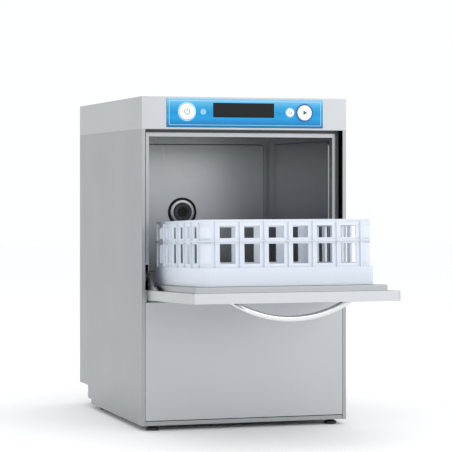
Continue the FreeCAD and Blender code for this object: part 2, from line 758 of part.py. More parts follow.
def services():
    """Wash pump, boiler, heaters, valve, drain, dosing pumps and the supply cable's gland."""
    volute = fuse(
        "pump_volute_solid",
        rod("volute_case", ("-20", "pump_y", "pump_z"), "40", "32", "x"),
        rod("volute_outlet", ("0", "pump_y", "pump_z"), "11", "47.5", "y"),
        rod("volute_inlet", ("-60", "pump_y", "pump_z"), "14", "41", "x"),
    )
    keep(volute, "pump_volute")
    motor = fuse(
        "pump_motor_solid",
        rod("motor_case", ("12.2", "pump_y", "pump_z"), "36", "110", "x"),
        rod("motor_cap", ("122", "pump_y", "pump_z"), "31", "14", "x"),
        block("motor_foot", ("30", "pump_y - 30", "body_bottom + base_wall"), ("70", "60", "42")),
    )
    keep(motor, "pump_motor")
    hose = fuse(
        "pump_hose_solid",
        rod("hose_run", ("-100", "pump_y", "pump_z"), "13", "39.8", "x"),
        rod("hose_up", ("-100", "pump_y", "pump_z - 13"), "13.5", "tank_bottom + 12.8 - pump_z"),
    )
    keep(hose, "pump_hose")
    boiler = fuse(
        "boiler",
        rod("boiler_case", ("-boiler_half", "boiler_y", "boiler_z"), "boiler_radius", "2 * boiler_half",
            "x"),
        block("boiler_foot_a", ("-90", "boiler_y - 25", "body_bottom + base_wall"), ("20", "50", "40")),
        block("boiler_foot_b", ("70", "boiler_y - 25", "body_bottom + base_wall"), ("20", "50", "40")),
    )
    keep(boiler, "boiler")
    heater = fuse(
        "boiler_heater_solid",
        rod("heater_flange", ("boiler_half", "boiler_y", "boiler_z"), "30", "6", "x"),
        rod("heater_terminal_a", ("boiler_half + 6", "boiler_y - 12", "boiler_z"), "4", "18", "x"),
        rod("heater_terminal_b", ("boiler_half + 6", "boiler_y + 12", "boiler_z"), "4", "18", "x"),
    )
    keep(heater, "boiler_heater")
    body = new_body("tank_heater")
    loop = sketch_on(body, "XY", "heater_loop", "tank_bottom + 18")
    rounded_rectangle(loop, "-150", "150", "centre_y + 90", "centre_y + 160", "24")
    rounded_rectangle(loop, "-143", "143", "centre_y + 97", "centre_y + 153", "17")
    pad(body, loop, "7")
    leads = sketch_on(body, "XZ", "heater_leads", "centre_y + 157")
    circle(leads, "-30", "tank_bottom + 21.5", "3.4")
    circle(leads, "30", "tank_bottom + 21.5", "3.4")
    pad(body, leads, "chamber_back - centre_y - 145")
    keep(body, "tank_heater")
    valve = fuse(
        "water_inlet_valve_solid",
        rod("inlet_neck", ("inlet_x", "cabinet_depth - 20", "inlet_z"), "inlet_radius - 1.2", "22", "y"),
        rod("inlet_thread", ("inlet_x", "cabinet_depth + 1", "inlet_z"), "inlet_radius", "21", "y"),
        block("inlet_block", ("inlet_x - 20", "cabinet_depth - 55", "inlet_z - 18"), ("40", "36", "36")),
        rod("inlet_coil", ("inlet_x", "cabinet_depth - 38", "inlet_z + 18"), "14", "38"),
    )
    keep(cut("water_inlet_valve", valve,
             rod("inlet_bore", ("inlet_x", "cabinet_depth", "inlet_z"), "8.5", "30", "y")),
         "water_inlet_valve")
    drain = fuse(
        "drain_spigot_solid",
        ring("drain_tube", ("drain_x", "cabinet_depth - 60", "drain_z"), "drain_radius - 1",
             "drain_radius - 2.5", "62", "y"),
        ring("drain_end", ("drain_x", "cabinet_depth + 1", "drain_z"), "drain_radius",
             "drain_radius - 2.5", "drain_reach - 1", "y"),
        ring("drain_bead", ("drain_x", "cabinet_depth - 62", "drain_z"), "drain_radius + 5",
             "drain_radius - 2.5", "6", "y"),
    )
    keep(drain, "drain_spigot")
    hose = fuse(
        "drain_hose",
        rod("drain_fall", ("-100", "centre_y", "drain_z - 13"), "13.5", "tank_bottom + 12.8 - drain_z"),
        rod("drain_cross", ("drain_x", "centre_y", "drain_z"), "13", "-100 - drain_x", "x"),
        rod("drain_elbow", ("drain_x", "centre_y", "drain_z - 15"), "15", "30"),
        rod("drain_run", ("drain_x", "centre_y", "drain_z"), "14", "cabinet_depth - 62.2 - centre_y", "y"),
    )
    keep(hose, "drain_hose")
    gland = fuse(
        "cable_gland_solid",
        ring("gland_nut", ("gland_x", "cabinet_depth - sheet", "gland_z"), "13", "gland_bore", "8", "y"),
        ring("gland_dome", ("gland_x", "cabinet_depth + 6", "gland_z"), "9", "gland_bore", "8", "y"),
        ring("gland_stem", ("gland_x", "cabinet_depth - 14", "gland_z"), "7.8", "gland_bore", "14", "y"),
        ring("gland_lock", ("gland_x", "cabinet_depth - 14", "gland_z"), "12", "gland_bore",
             "14 - 2 * sheet", "y"),
    )
    keep(gland, "cable_gland")
    pumps = []
    for label, x in (("detergent_pump", "-90"), ("rinse_aid_pump", "-20")):
        pumps.append(fuse(
            label,
            block(label + "_case", (f"{x} - 26", "cabinet_depth - 2 * sheet - 40", "180"), ("52", "40", "62")),
            rod(label + "_head", (x, "cabinet_depth - 2 * sheet - 54", "214"), "22", "15", "y"),
        ))
    keep(group("dosing_pumps", *pumps), "dosing_pumps")


# --- controls on the lid ---------------------------------------------------------------------------------


def controls():
    """The control panel, its window and lamp, three push buttons and the board behind them."""
    body = new_body("control_panel")
    face = sketch_on(body, "XZ", "panel_face", "-panel_thick")
    rectangle(face, "-panel_half", "panel_half", "panel_low", "panel_high")
    rectangle(face, "display_left", "display_right", "display_low", "display_high")
    for x, radius in (("on_off_x", "on_off_radius"), ("start_x", "start_radius"),
                      ("program_x", "program_radius")):
        circle(face, x, "button_z", f"{radius} + button_gap")
    circle(face, "lamp_x", "button_z", "lamp_radius")
    pad(body, face, "panel_thick")
    keep(body, "control_panel")
    keep(block("display_window", ("display_left", "-panel_thick", "display_low"),
               ("display_right - display_left", "panel_thick + 1", "display_high - display_low")),
         "display_window", ("display_left", "front_plane_y - panel_thick", "display_low"))
    keep(rod("indicator_lamp", ("lamp_x", "-panel_thick", "button_z"), "lamp_radius", "7", "y"),
         "indicator_lamp", ("lamp_x", "front_plane_y - panel_thick", "button_z"))
    keep(ring("start_button_ring", ("start_x", "-panel_thick - 1", "button_z"), "start_ring",
              "start_radius + button_gap", "1", "y"), "start_button_ring")
    stems = []
    for label, x, radius in (("on_off_button", "on_off_x", "on_off_radius"),
                             ("start_button", "start_x", "start_radius"),
                             ("program_button", "program_x", "program_radius")):
        cap = rod(label + "_cap", (x, "-panel_thick - 1.8", "button_z"), radius, "5", "y")
        stem = rod(label + "_stem", (x, "0", "button_z"), "button_stem", "8", "y")
        keep(fuse(label, cap, stem), label)
        stems.append(block(label + "_switch", (f"{x} - 6", "10.5", "button_z - 6"),
                           ("12", "board_y - 10.5", "12")))
    keep(group("button_switches", *stems), "button_switches")
    board = block("control_board", ("-150", "board_y", "panel_low + 8"), ("300", "1.6", "44"))
    keep(board, "control_board", ("-150", "front_plane_y + board_y", "panel_low + 8"))


# --- door and rack, drawn from the hinge axis with the door open ------------------------------------------


def door_panels():
    """The door's folded outer skin, and the inner liner that plugs the opening."""
    body = new_body("door_outer_panel")
    outline = sketch_on(body, "XY", "door_outline", "-door_inset")
    rectangle(outline, "-door_half", "door_half", "-door_reach", "door_heel")
    pad(body, outline, "door_thick")
    hollow = sketch_on(body, "XY", "door_hollow", "sheet - door_inset")
    rectangle(hollow, "-(door_half - sheet)", "door_half - sheet", "-(door_reach - sheet)",
              "door_heel - sheet")
    pocket(body, hollow, "door_thick")
    bores = sketch_on(body, "YZ", "door_pin_bores", "-door_half - 1")
    circle(bores, "0", "0", "pin_radius")
    pocket(body, bores, "2 * door_half + 2")
    fillet(body, (0, 0, 1), "4", lambda p: abs(p.y + value("door_reach")) < 0.1)
    keep(body, "door_outer_panel", DOOR)

    body = new_body("door_inner_liner")
    base = "door_thick - door_inset"
    plate = sketch_on(body, "XY", "liner_plate", f"{base} - 3")
    rectangle(plate, "-(door_half - sheet - 0.1)", "door_half - sheet - 0.1",
              "-(door_reach - sheet - 0.1)", "door_heel - sheet - 0.1")
    pad(body, plate, "3")
    step = sketch_on(body, "XY", "liner_step", base)
    rectangle(step, "-liner_half", "liner_half", "-liner_reach", "-liner_heel")
    pad(body, step, "liner_rise")
    hollow = sketch_on(body, "XY", "liner_hollow", f"{base} - 4")
    rectangle(hollow, "-(liner_half - 1.5)", "liner_half - 1.5", "-(liner_reach - 1.5)",
              "-(liner_heel + 1.5)")
    pocket(body, hollow, "liner_rise + 2.5")
    keep(body, "door_inner_liner", DOOR)


def door_handle():
    """A bowed bar below the open door: the band between two arcs that share their centre."""
    chord = value("handle_half")
    drop = value("handle_drop")
    outer = (chord ** 2 + drop ** 2) / (2 * drop)
    body = new_body("door_handle")
    sketch = sketch_on(body, "XZ", "handle_bow", "-(handle_reach + handle_wide / 2)")
    face = -value("door_inset")
    centre = FreeCAD.Vector(0, face - drop + outer, 0)
    spans = []
    for radius in (outer, outer - value("handle_bar")):
        reach = (radius ** 2 - (outer - drop) ** 2) ** 0.5
        ends = [FreeCAD.Vector(-reach, face, 0), FreeCAD.Vector(reach, face, 0)]
        middle = FreeCAD.Vector(0, centre.y - radius, 0)
        sketch.addGeometry(Part.Arc(ends[0], middle, ends[1]), False)
        spans.append(ends)
    for side in (0, 1):
        sketch.addGeometry(Part.LineSegment(spans[0][side], spans[1][side]), False)
    sketch.addConstraint(Sketcher.Constraint("Coincident", 0, 1, 2, 1))
    sketch.addConstraint(Sketcher.Constraint("Coincident", 1, 1, 2, 2))
    sketch.addConstraint(Sketcher.Constraint("Coincident", 0, 2, 3, 1))
    sketch.addConstraint(Sketcher.Constraint("Coincident", 1, 2, 3, 2))
    sketch.addConstraint(Sketcher.Constraint("Coincident", 0, 3, 1, 3))
    for point, x in ((1, "-handle_half"), (2, "handle_half")):
        pin_point(sketch, 0, point, x, "-door_inset")
    radii = ("(handle_half ^ 2 + handle_drop ^ 2) / (2 * handle_drop)",
             "(handle_half ^ 2 + handle_drop ^ 2) / (2 * handle_drop) - handle_bar")
    for arc, text in enumerate(radii):
        index = sketch.addConstraint(Sketcher.Constraint("Radius", arc, value(text)))
        sketch.setExpression(f"Constraints[{index}]", bound(text))
    for point in (1, 2):
        level = Sketcher.Constraint("DistanceY", -1, 1, 1, point, face)
        index = sketch.addConstraint(level)
        sketch.setExpression(f"Constraints[{index}]", bound("-door_inset"))
    pad(body, sketch, "handle_wide")
    doc.recompute()
    bow = body.Tip
    rounding = body.newObject("PartDesign::Fillet", "handle_rounding")
    long_edges = [
        f"Edge{i}" for i, edge in enumerate(bow.Shape.Edges, start=1)
        if isinstance(edge.Curve, Part.Circle)
    ]
    rounding.Base = (bow, long_edges)
    rounding.Radius = 4
    keep(body, "door_handle", DOOR)
    screws = []
    for i, side in enumerate(("-1", "1")):
        x = f"{side} * (handle_half - 9)"
        screws.append(rod(f"handle_screw_{i}", (x, "-handle_reach", "sheet - door_inset"), "3.5", "2.5"))
    keep(group("handle_screws", *screws), "handle_screws", DOOR)


def hinges():
    """Curved arms on the door, pins in its ends, brackets in the cabinet and the balance springs."""
    pins = []
    brackets = []
    for side_name, side, low in (("left", "-1", "-(arm_side + arm_plate)"), ("right", "1", "arm_side")):
        label = f"hinge_arm_{side_name}"
        body = new_body(label)
        base = "door_thick - door_inset"
        profile = sketch_on(body, "YZ", label + "_profile", low)
        polygon(profile, [
            ("-62", base), ("-10", base), ("-10", f"{base} + 10"), ("8", f"{base} + 26"),
            ("16", f"{base} + 30"), ("16", f"{base} + 37"), ("0", f"{base} + 36"),
            ("-22", f"{base} + 22"), ("-42", f"{base} + 9"), ("-62", f"{base} + 4"),
        ])
        pad(body, profile, "arm_plate")
        hole = sketch_on(body, "YZ", label + "_hole", f"{low} - 1")
        circle(hole, "10", f"{base} + 32", "1.6")
        pocket(body, hole, "arm_plate + 2")
        keep(body, label, DOOR)
        start = "door_half - 8" if side == "1" else "-(door_half + 7)"
        pins.append(rod(f"pin_{side_name}", (start, "0", "0"), "pin_radius", "15", "x"))
        bracket = f"hinge_bracket_{side_name}"
        x = "door_half + 0.6" if side == "1" else "-(cabinet_width / 2 - sheet)"
        solid = block(bracket + "_block", (x, "sheet + 0.3", "front_panel_top + 1"),
                      ("cabinet_width / 2 - sheet - door_half - 0.6", "20", "24"))
        bore = rod(bracket + "_bore", ("-cabinet_width / 2", "hinge_y", "hinge_z"),
                   "pin_radius + pin_clearance", "cabinet_width", "x")
        brackets.append(cut(bracket, solid, bore))
    keep(group("hinge_brackets", *brackets), "hinge_brackets")
    keep(group("hinge_pins", *pins), "hinge_pins", DOOR)


def door_springs():
    """Balance springs in the side spaces: a coil of round wire on two pins, and a link to the arm."""
    pieces = []
    height = value("spring_high - spring_low")
    for side in (-1, 1):
        helix = Part.makeHelix(6.0, height - 6, 4.6)
        disc = Part.Wire(Part.makeCircle(0.9, FreeCAD.Vector(4.6, 0, 0), FreeCAD.Vector(0, 1, 0)))
        coil = Part.Wire(helix.Edges).makePipeShell([disc], True, True)
        axis = FreeCAD.Vector(side * value("spring_x"), value("spring_y"), value("spring_low") + 3)
        coil.translate(axis)
        pieces.append(coil)
        inner = 203.4 if side > 0 else -205.4
        ends = FreeCAD.Vector(203.4 if side > 0 else -216.2, value("spring_y"), 0)
        low = Part.makeCylinder(1.8, 12.8, ends + FreeCAD.Vector(0, 0, value("spring_low")),
                                FreeCAD.Vector(1, 0, 0))
        high = Part.makeCylinder(1.8, 12.8, ends + FreeCAD.Vector(0, 0, value("spring_high")),
                                 FreeCAD.Vector(1, 0, 0))
        pieces.append(low)
        tilt = math.radians(value("door_tilt"))
        hole = (10.0, value("door_thick - door_inset") + 32)
        eye = (value("hinge_y") + hole[0] * math.cos(tilt) + hole[1] * math.sin(tilt),
               value("hinge_z") - hole[0] * math.sin(tilt) + hole[1] * math.cos(tilt))
        run = FreeCAD.Vector(0, eye[0] - value("spring_y"), eye[1] - value("spring_high"))
        across = FreeCAD.Vector(0, run.z, -run.y).normalize() * 3.5
        foot = FreeCAD.Vector(inner, value("spring_y"), value("spring_high"))
        corners = [foot - across, foot + across, foot + run + across, foot + run - across, foot - across]
        bar = Part.Face(Part.makePolygon(corners)).extrude(FreeCAD.Vector(2, 0, 0))
        pieces.append(bar.fuse(high))
    item = doc.addObject("Part::Feature", "door_springs")
    item.Shape = Part.makeCompound(pieces)
    keep(item, "door_springs")


def rack():
    """The moulded glass rack: skirt, windowed walls, a rib round the middle and a grid floor."""
    base = "door_thick - door_inset + liner_rise + rack_lift"
    back = "2 * rack_half - rack_front"
    half = "rack_half"
    body = new_body("glass_rack")
    outline = sketch_on(body, "XY", "rack_outline", base)
    rounded_rectangle(outline, f"-{half}", half, "-rack_front", back, "rack_corner")
    pad(body, outline, "rack_high")
    hollow = sketch_on(body, "XY", "rack_hollow", f"{base} + rack_wall")
    rounded_rectangle(hollow, f"-({half} - rack_wall)", f"{half} - rack_wall", "-(rack_front - rack_wall)",
                      f"{back} - rack_wall", "rack_corner - rack_wall")
    pocket(body, hollow, "rack_high")
    middle = "(rack_half - rack_front)"
    for name, low, high in (("low", "rack_skirt + 7", "rack_rib - 6"), ("high", "rack_rib + 5", "rack_rim - 2")):
        front = sketch_on(body, "XZ", f"rack_front_{name}", "-rack_front - 10")
        rectangle(front, "-3 * rack_pitch + (rack_pitch - rack_window) / 2",
                  "-2 * rack_pitch - (rack_pitch - rack_window) / 2", f"{base} + {low}", f"{base} + {high}")
        row_of(body, pocket(body, front, "2 * rack_half + 20"), "X", "5 * rack_pitch", 6)
        side = sketch_on(body, "YZ", f"rack_side_{name}", "-rack_half - 10")
        rectangle(side, f"{middle} - 3 * rack_pitch + (rack_pitch - rack_window) / 2",
                  f"{middle} - 2 * rack_pitch - (rack_pitch - rack_window) / 2",
                  f"{base} + {low}", f"{base} + {high}")
        row_of(body, pocket(body, side, "2 * rack_half + 20"), "Y", "5 * rack_pitch", 6)
    grid = sketch_on(body, "XY", "rack_grid", f"{base} - 1")
    corner = "6 * rack_floor_pitch"
    for i in range(12):
        low = f"{middle} - {corner} + {i} * rack_floor_pitch + (rack_floor_pitch - rack_floor_hole) / 2"
        rectangle(grid, f"-{corner} + (rack_floor_pitch - rack_floor_hole) / 2",
                  f"-5 * rack_floor_pitch - (rack_floor_pitch - rack_floor_hole) / 2",
                  low, f"{low} + rack_floor_hole")
    row_of(body, pocket(body, grid, "rack_wall + 2"), "X", "11 * rack_floor_pitch", 12)
    keep(body, "glass_rack", DOOR)


# --- build, check and write ------------------------------------------------------------------------------

side_panel("side_panel_left", "-1")
side_panel("side_panel_right", "1")
lid()
rear_panel()
rear_screws()
base_pan()
rear_floor()
feet()
front_panel()
front_frame()
chamber_walls()
wash_tank()
filters()
seals_and_port()
rails()
spray_system()
services()
controls()
door_panels()
door_handle()
hinges()
door_springs()
rack()
doc.recompute()

failed = [o.Name for o in doc.Objects if "Invalid" in o.State or "Error" in o.State]
if failed:
    raise SystemExit(f"these objects did not build: {failed}")
for part in SUBPARTS:
    if part.Shape.isNull() or not part.Shape.isValid():
        raise SystemExit(f"{part.Label} has no valid shape")

os.makedirs("parts", exist_ok=True)
whole = FreeCAD.BoundBox()
for part in SUBPARTS:
    part.Shape.exportStep(f"parts/{part.Label}.step")
    whole.add(part.Shape.BoundBox)
    print(f"{part.Label}: {len(part.Shape.Solids)} solid, {part.Shape.Volume / 1000:.1f} cm3")
print(f"{len(SUBPARTS)} sub-parts, box {whole}")
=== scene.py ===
# %% [markdown]
# # An undercounter commercial dishwasher in Blender
# This lesson dresses an engineering model of a small front-loading dishwasher: folded stainless sheet
# outside, a bright wash chamber inside, a drop-down door that carries a white rack, and a blue keypad.
# The CAD model gives every piece its place. Flat pieces keep their CAD shape with softened edges, and the
# rack, the buttons and the port in the rear wall are modelled here.

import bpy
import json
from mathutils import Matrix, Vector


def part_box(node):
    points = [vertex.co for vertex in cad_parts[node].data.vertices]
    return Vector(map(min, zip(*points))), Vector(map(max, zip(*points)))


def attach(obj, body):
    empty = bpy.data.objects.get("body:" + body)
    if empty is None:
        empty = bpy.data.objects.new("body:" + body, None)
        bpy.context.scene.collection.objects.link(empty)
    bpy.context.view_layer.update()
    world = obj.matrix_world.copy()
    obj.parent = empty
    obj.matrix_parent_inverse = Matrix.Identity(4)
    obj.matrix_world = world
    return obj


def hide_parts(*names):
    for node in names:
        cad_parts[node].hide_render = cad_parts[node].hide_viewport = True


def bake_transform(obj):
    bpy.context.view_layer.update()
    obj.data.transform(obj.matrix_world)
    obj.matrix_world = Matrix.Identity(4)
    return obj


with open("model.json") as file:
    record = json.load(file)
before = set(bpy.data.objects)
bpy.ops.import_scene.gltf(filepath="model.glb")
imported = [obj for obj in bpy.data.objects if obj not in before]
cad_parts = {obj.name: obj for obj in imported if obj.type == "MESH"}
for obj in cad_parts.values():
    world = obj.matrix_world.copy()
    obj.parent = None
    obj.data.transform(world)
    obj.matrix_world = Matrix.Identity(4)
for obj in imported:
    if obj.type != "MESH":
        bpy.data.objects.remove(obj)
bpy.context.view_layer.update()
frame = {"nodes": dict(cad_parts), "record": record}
print(f"{len(frame['nodes'])} CAD nodes")

# %% Tools
import json
import math

import bmesh
import bpy
from mathutils import Matrix, Vector

MM = 0.001
FRONT = -125.0
CENTRE_Y = 102.0

# %% [markdown]
# ## Colour and nodes
# Colours are given as sRGB hex values, but shaders work in linear light, so one function converts
# them. Another adds a node, sets its values and joins its inputs, so that each finish stays short.


# %% Colour and node helpers
def linear(hex_colour):
    """An sRGB hex colour as linear light."""
    parts = [int(hex_colour[i:i + 2], 16) / 255 for i in (0, 2, 4)]
    return [p / 12.92 if p <= 0.04045 else ((p + 0.055) / 1.055) ** 2.4 for p in parts] + [1.0]


def node(tree, kind, inputs=None, **settings):
    """Adds a node; an input's value may be another node's output."""
    made = tree.nodes.new(kind)
    for name, value in settings.items():
        setattr(made, name, value)
    for name, value in (inputs or {}).items():
        if isinstance(value, bpy.types.NodeSocket):
            tree.links.new(value, made.inputs[name])
        else:
            made.inputs[name].default_value = value
    return made


def new_finish(name, colour, metallic=0.0, roughness=0.5, **extra):
    """A material with one Principled shader, whose constants sit on the shader itself."""
    material = bpy.data.materials.new(name)
    material.use_nodes = True
    tree = material.node_tree
    tree.nodes.clear()
    shader = node(tree, "ShaderNodeBsdfPrincipled", {
        "Base Color": linear(colour), "Metallic": metallic, "Roughness": roughness, **extra,
    })
    out = node(tree, "ShaderNodeOutputMaterial")
    tree.links.new(shader.outputs[0], out.inputs["Surface"])
    return material, tree, shader


# %% [markdown]
# ## Brushed stainless steel
# The cabinet is AISI 304 sheet with a satin, belt-ground finish. Its scratches are about 0.2 mm apart, too
# fine to see from here, so they are drawn 0.9 mm apart and very shallow. They run one way, which is done by
# squeezing a noise across the grain. A slow cloudiness in the roughness gives the wiped look of steel.


# %% Stainless finishes
def brushed(name, colour, roughness, grain, depth=0.12, wear=0.05):
    """Satin steel; grain is the axis along which the scratches run."""
    material, tree, shader = new_finish(name, colour, 1.0, roughness)
    place = node(tree, "ShaderNodeTexCoord").outputs["Object"]
    across = 1 / (0.9 * MM)
    scale = [across, across, across]
    scale["XYZ".index(grain)] = 1 / (90 * MM)
    stretched = node(tree, "ShaderNodeMapping", {"Vector": place, "Scale": scale}).outputs[0]
    scratches = node(tree, "ShaderNodeTexNoise", {"Vector": stretched, "Scale": 1.0, "Detail": 3.0})
    clouds = node(tree, "ShaderNodeTexNoise", {"Vector": place, "Scale": 1 / (120 * MM), "Detail": 2.0})
    mixed = node(tree, "ShaderNodeMath", {0: scratches.outputs["Fac"], 1: clouds.outputs["Fac"]},
                 operation="ADD").outputs[0]
    rough = node(tree, "ShaderNodeMapRange", {
        "Value": mixed, "From Min": 0.6, "From Max": 1.4, "To Min": roughness - wear,
        "To Max": roughness + wear,
    }).outputs[0]
    tree.links.new(rough, shader.inputs["Roughness"])
    bump = node(tree, "ShaderNodeBump", {
        "Height": scratches.outputs["Fac"], "Strength": depth, "Distance": 0.02 * MM,
    }).outputs[0]
    tree.links.new(bump, shader.inputs["Normal"])
    return material


# One satin steel in three tones: the side sheet is painted darker as painted shade, and the hood and the
# door are painted lighter as painted light.
finishes = {
    "stainless_outer": brushed("satin_stainless_sheet_painted_shade", "A1A4A7", 0.4, "Z"),
    "stainless_lid": brushed("satin_stainless_hood_painted_light", "B4B7BA", 0.4, "X"),
    "stainless_door": brushed("satin_stainless_door_painted_light", "BFC2C5", 0.4, "X"),
    "stainless_chamber": brushed("bright_rolled_stainless", "A2A5A8", 0.3, "Z", depth=0.02, wear=0.03),
    "stainless_bar": brushed("polished_stainless_bar", "DADCDD", 0.26, "X", depth=0.06),
}
print("steel finishes:", ", ".join(finishes))

# %% [markdown]
# ## Hidden metals
# The base tray and the back cover are hot-dip galvanised sheet: dull zinc with crystals, called spangle,
# about 8 mm across. A Voronoi pattern gives each crystal its own brightness. Screws and springs are bright
# zinc-plated steel, and the motor case is painted.

# %% Zinc and paint
galvanised, tree, shader = new_finish("galvanised_sheet", "9FA3A5", 1.0, 0.45)
place = node(tree, "ShaderNodeTexCoord").outputs["Object"]
spangle = node(tree, "ShaderNodeTexVoronoi", {"Vector": place, "Scale": 1 / (8 * MM)})
shade = node(tree, "ShaderNodeMapRange", {
    "Value": spangle.outputs["Distance"], "To Min": 0.36, "To Max": 0.55,
}).outputs[0]
tree.links.new(shade, shader.inputs["Roughness"])
finishes["galvanised_steel"] = galvanised
finishes["zinc_fasteners"] = new_finish("bright_zinc_plate", "C9CBC6", 1.0, 0.3)[0]
finishes["motor_paint"] = new_finish("dark_stoved_enamel", "33373A", 0.0, 0.45)[0]
finishes["boiler_steel"] = brushed("boiler_stainless_shell", "B9BBBC", 0.4, "X")

# %% [markdown]
# ## Plastics and rubber
# The rack is injection-moulded polypropylene: milky, a little translucent, so light bleeds into it.
# Hoses and seals are EPDM rubber, black with a soft sheen. A very fine noise gives moulded plastic its
# spark-eroded grain, about 0.6 mm across.


# %% Moulded finishes
def moulded(name, colour, roughness, depth=0.1, **extra):
    """A moulded plastic or rubber with a fine grain."""
    material, tree, shader = new_finish(name, colour, 0.0, roughness, **extra)
    place = node(tree, "ShaderNodeTexCoord").outputs["Object"]
    grain = node(tree, "ShaderNodeTexNoise", {"Vector": place, "Scale": 1 / (0.6 * MM), "Detail": 2.0})
    bump = node(tree, "ShaderNodeBump", {
        "Height": grain.outputs["Fac"], "Strength": depth, "Distance": 0.05 * MM,
    }).outputs[0]
    tree.links.new(bump, shader.inputs["Normal"])
    return material


finishes["rack_plastic"] = moulded("polypropylene_milky_white", "D9E0EA", 0.38, IOR=1.49,
                                   **{"Subsurface Weight": 0.25, "Subsurface Radius": (0.004, 0.004, 0.005),
                                      "Subsurface Scale": 1.0})
finishes["black_plastic"] = moulded("black_glass_filled_nylon", "16181A", 0.5, IOR=1.5)
finishes["black_rubber"] = moulded("epdm_rubber", "242628", 0.6, 0.2, IOR=1.52)
finishes["seal_rubber"] = moulded("grey_silicone_rubber", "4E5052", 0.55, 0.2, IOR=1.45)
finishes["grey_plastic"] = moulded("grey_polypropylene", "A5A9AC", 0.45, IOR=1.49)
finishes["funnel_grey"] = moulded("mid_grey_polypropylene", "6E7276", 0.4, IOR=1.49)
finishes["circuit_board"] = new_finish("green_solder_resist", "1C6B3C", 0.0, 0.3)[0]

# %% [markdown]
# ## The keypad
# The keypad is a polyester film printed on its back: sky blue at its top edge, deeper lower down, with a
# paler band across its middle. A ramp over the height gives the print, from the film's lower edge to its
# upper edge. The film is embossed satin, so it is only slightly glossy.

# %% Keypad finishes
film_low, film_high = (corner[2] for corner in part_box("control_panel"))
keypad, tree, shader = new_finish("printed_polyester_film", "2C9FDB", 0.0, 0.32, IOR=1.57,
                                  **{"Specular IOR Level": 0.2})
place = node(tree, "ShaderNodeTexCoord").outputs["Object"]
height = node(tree, "ShaderNodeSeparateXYZ", {"Vector": place}).outputs["Z"]
share = node(tree, "ShaderNodeMapRange", {
    "Value": height, "From Min": film_low, "From Max": film_high,
}).outputs[0]
ramp = node(tree, "ShaderNodeValToRGB", {"Fac": share})
bands = ((0.0, "06699E"), (0.14, "0A80B8"), (0.34, "129ADA"), (0.5, "0090CA"), (0.7, "2A9FD4"),
         (0.86, "5CB2DE"), (1.0, "8CC6E8"))
while len(ramp.color_ramp.elements) < len(bands):
    ramp.color_ramp.elements.new(0.5)
for stop, (position, colour) in zip(ramp.color_ramp.elements, bands):
    stop.position = position
    stop.color = linear(colour)
tree.links.new(ramp.outputs["Color"], shader.inputs["Base Color"])
finishes["blue_overlay"] = keypad
finishes["pale_ink"] = new_finish("pale_blue_ink", "A9DDF8", 0.0, 0.35)[0]
finishes["dark_ink"] = new_finish("slate_ink", "4A5560", 0.0, 0.45)[0]
finishes["button_white"] = new_finish("white_polycarbonate_cap", "F1F4F7", 0.0, 0.3, IOR=1.58)[0]
finishes["button_blue"] = new_finish("dark_blue_print", "0C5FA8", 0.0, 0.3)[0]
finishes["lamp_lens"] = new_finish("tinted_lamp_lens", "7FC2EE", 0.0, 0.15, IOR=1.58)[0]
finishes["display_glass"] = new_finish("smoked_acrylic", "07090B", 0.0, 0.3, IOR=1.3)[0]
print(f"{len(finishes)} finishes")

# %% [markdown]
# ## Finishes on the CAD pieces
# Each CAD piece takes the finish of its material slot. The hood, the front and the door get their own copies
# of the steel, because their grain runs across the machine. These copies are also painted lighter than the
# side sheet,
# the door lightest: painted light on the faces that look to the front. The door's seal is a greyer rubber.

# %% Dress the frame
slot_of = {entry["node"]: entry["material_slot"] for entry in frame["record"]["subparts"]}
# The hood, front and door copies are painted lighter than the sides: painted light.
finish_of = {**slot_of, "lid": "stainless_lid", "front_panel": "stainless_lid",
             "door_outer_panel": "stainless_door", "door_seal": "seal_rubber"}
for name, item in frame["nodes"].items():
    for part_slot in item.material_slots:
        part_slot.material = finishes[finish_of[name]]
print(f"{len(slot_of)} nodes dressed")

# %% [markdown]
# ## Finishing a piece
# Every new piece is drawn in millimetres and goes through one function, which scales it to metres, smooths
# its shading except across sharp edges, and joins it to the CAD body that it moves with.


# %% Piece helper
def add_piece(name, shape, body, slot, instead_of=(), finish=None, sharp=40, bends=None):
    """Makes an object of a bmesh in millimetres, riding a body, with the finish of a material slot."""
    bmesh.ops.scale(shape, vec=(MM, MM, MM), verts=shape.verts)
    mesh = bpy.data.meshes.new(name)
    shape.to_mesh(mesh)
    shape.free()
    mesh.shade_smooth()
    mesh.set_sharp_from_angle(angle=math.radians(sharp))
    mesh.materials.append(finishes[finish or slot])
    item = bpy.data.objects.new(name, mesh)
    bpy.context.scene.collection.objects.link(item)
    weighted = item.modifiers.new("flat_faces_stay_flat", "WEIGHTED_NORMAL")
    weighted.keep_sharp = True
    if bends:
        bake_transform(item)
    else:
        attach(item, body)
    if instead_of:
        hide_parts(*instead_of)
    return item


body_of_node = {n: b for b, names in frame["record"]["behaviour"]["bodies"].items() for n in names}

# %% [markdown]
# ## Softened edges
# No sheet-metal fold or casting has a perfectly sharp edge: the small radius catches a line of light, which
# is most of what makes metal look real. Each CAD piece that shows is copied, its triangles are welded back
# into faces, and every edge sharper than 35 degrees is bevelled. Thin sheet takes 0.35 mm and a moulding
# takes more. The handle, the feet, the riser pipe, the strainer and the drain hose take no bevel and are
# only welded and smoothed.


